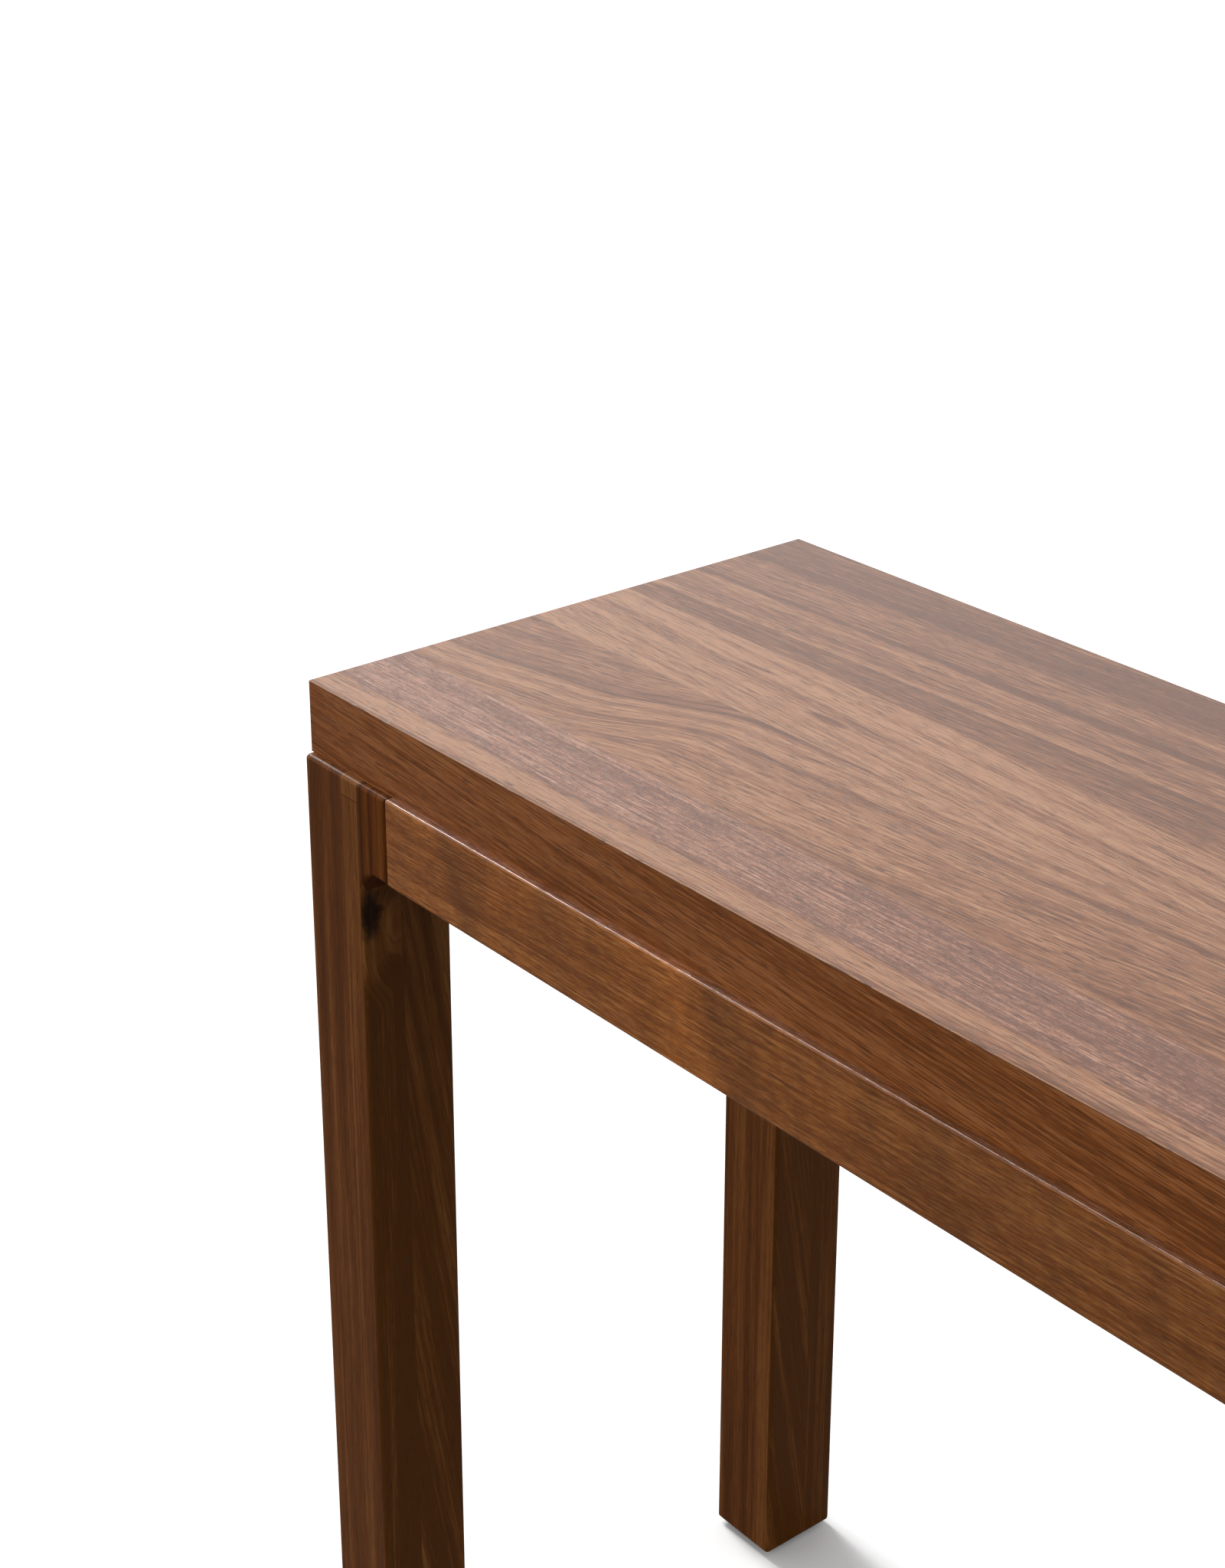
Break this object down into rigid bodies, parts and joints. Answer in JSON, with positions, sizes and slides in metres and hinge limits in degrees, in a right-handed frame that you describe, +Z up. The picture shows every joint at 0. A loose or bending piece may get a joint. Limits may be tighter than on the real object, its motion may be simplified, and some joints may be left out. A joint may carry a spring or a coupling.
{
  "type": "console table",
  "caption": "Long narrow console table with a thick square-edged walnut-veneered slab on rectangular corner legs joined by plain aprons.",
  "frame": {"origin": "on the floor, under the middle of the table", "axes": "+X along the length, -Y is the front (long side), +Z up"},
  "size_m": [1.22, 0.3914, 0.762],
  "materials": {
    "walnut_veneer": "satin lacquer, open pores",
    "walnut_edge": "satin lacquer, open pores",
    "walnut_leg": "satin lacquer",
    "walnut_rail": "satin lacquer",
    "backing_veneer": "sealed, matt",
    "board_core": "raw board",
    "batten_wood": "planed, unfinished",
    "dowel_wood": "unfinished beech",
    "zinc_steel": "zinc plated",
    "screw_steel": "yellow zinc",
    "nylon": "moulded, matt"
  },
  "bodies": {
    "root": {"top_core": "board_core", "top_veneer": "walnut_veneer", "backing_veneer": "backing_veneer", "front_edge_band": "walnut_edge", "back_edge_band": "walnut_edge", "left_edge_band": "walnut_edge", "right_edge_band": "walnut_edge", "leg_front_left": "walnut_leg", "leg_front_right": "walnut_leg", "leg_back_left": "walnut_leg", "leg_back_right": "walnut_leg", "shoulder_block_front_left": "walnut_leg", "shoulder_block_front_right": "walnut_leg", "shoulder_block_back_left": "walnut_leg", "shoulder_block_back_right": "walnut_leg", "front_apron": "walnut_rail", "back_apron": "walnut_rail", "left_end_rail": "walnut_rail", "right_end_rail": "walnut_rail", "cross_batten_left": "batten_wood", "cross_batten_centre": "batten_wood", "cross_batten_right": "batten_wood", "left_cleat": "batten_wood", "right_cleat": "batten_wood", "corner_bracket_front_left": "zinc_steel", "corner_bracket_front_right": "zinc_steel", "corner_bracket_back_left": "zinc_steel", "corner_bracket_back_right": "zinc_steel", "hanger_bolts": "zinc_steel", "hanger_washers": "zinc_steel", "hanger_nuts": "zinc_steel", "bracket_screws": "screw_steel", "batten_screws": "screw_steel", "cleat_rail_screws": "screw_steel", "cleat_top_screws": "screw_steel", "shoulder_dowels": "dowel_wood", "foot_glides": "nylon", "glide_nails": "screw_steel"}
  },
  "joints": []
}
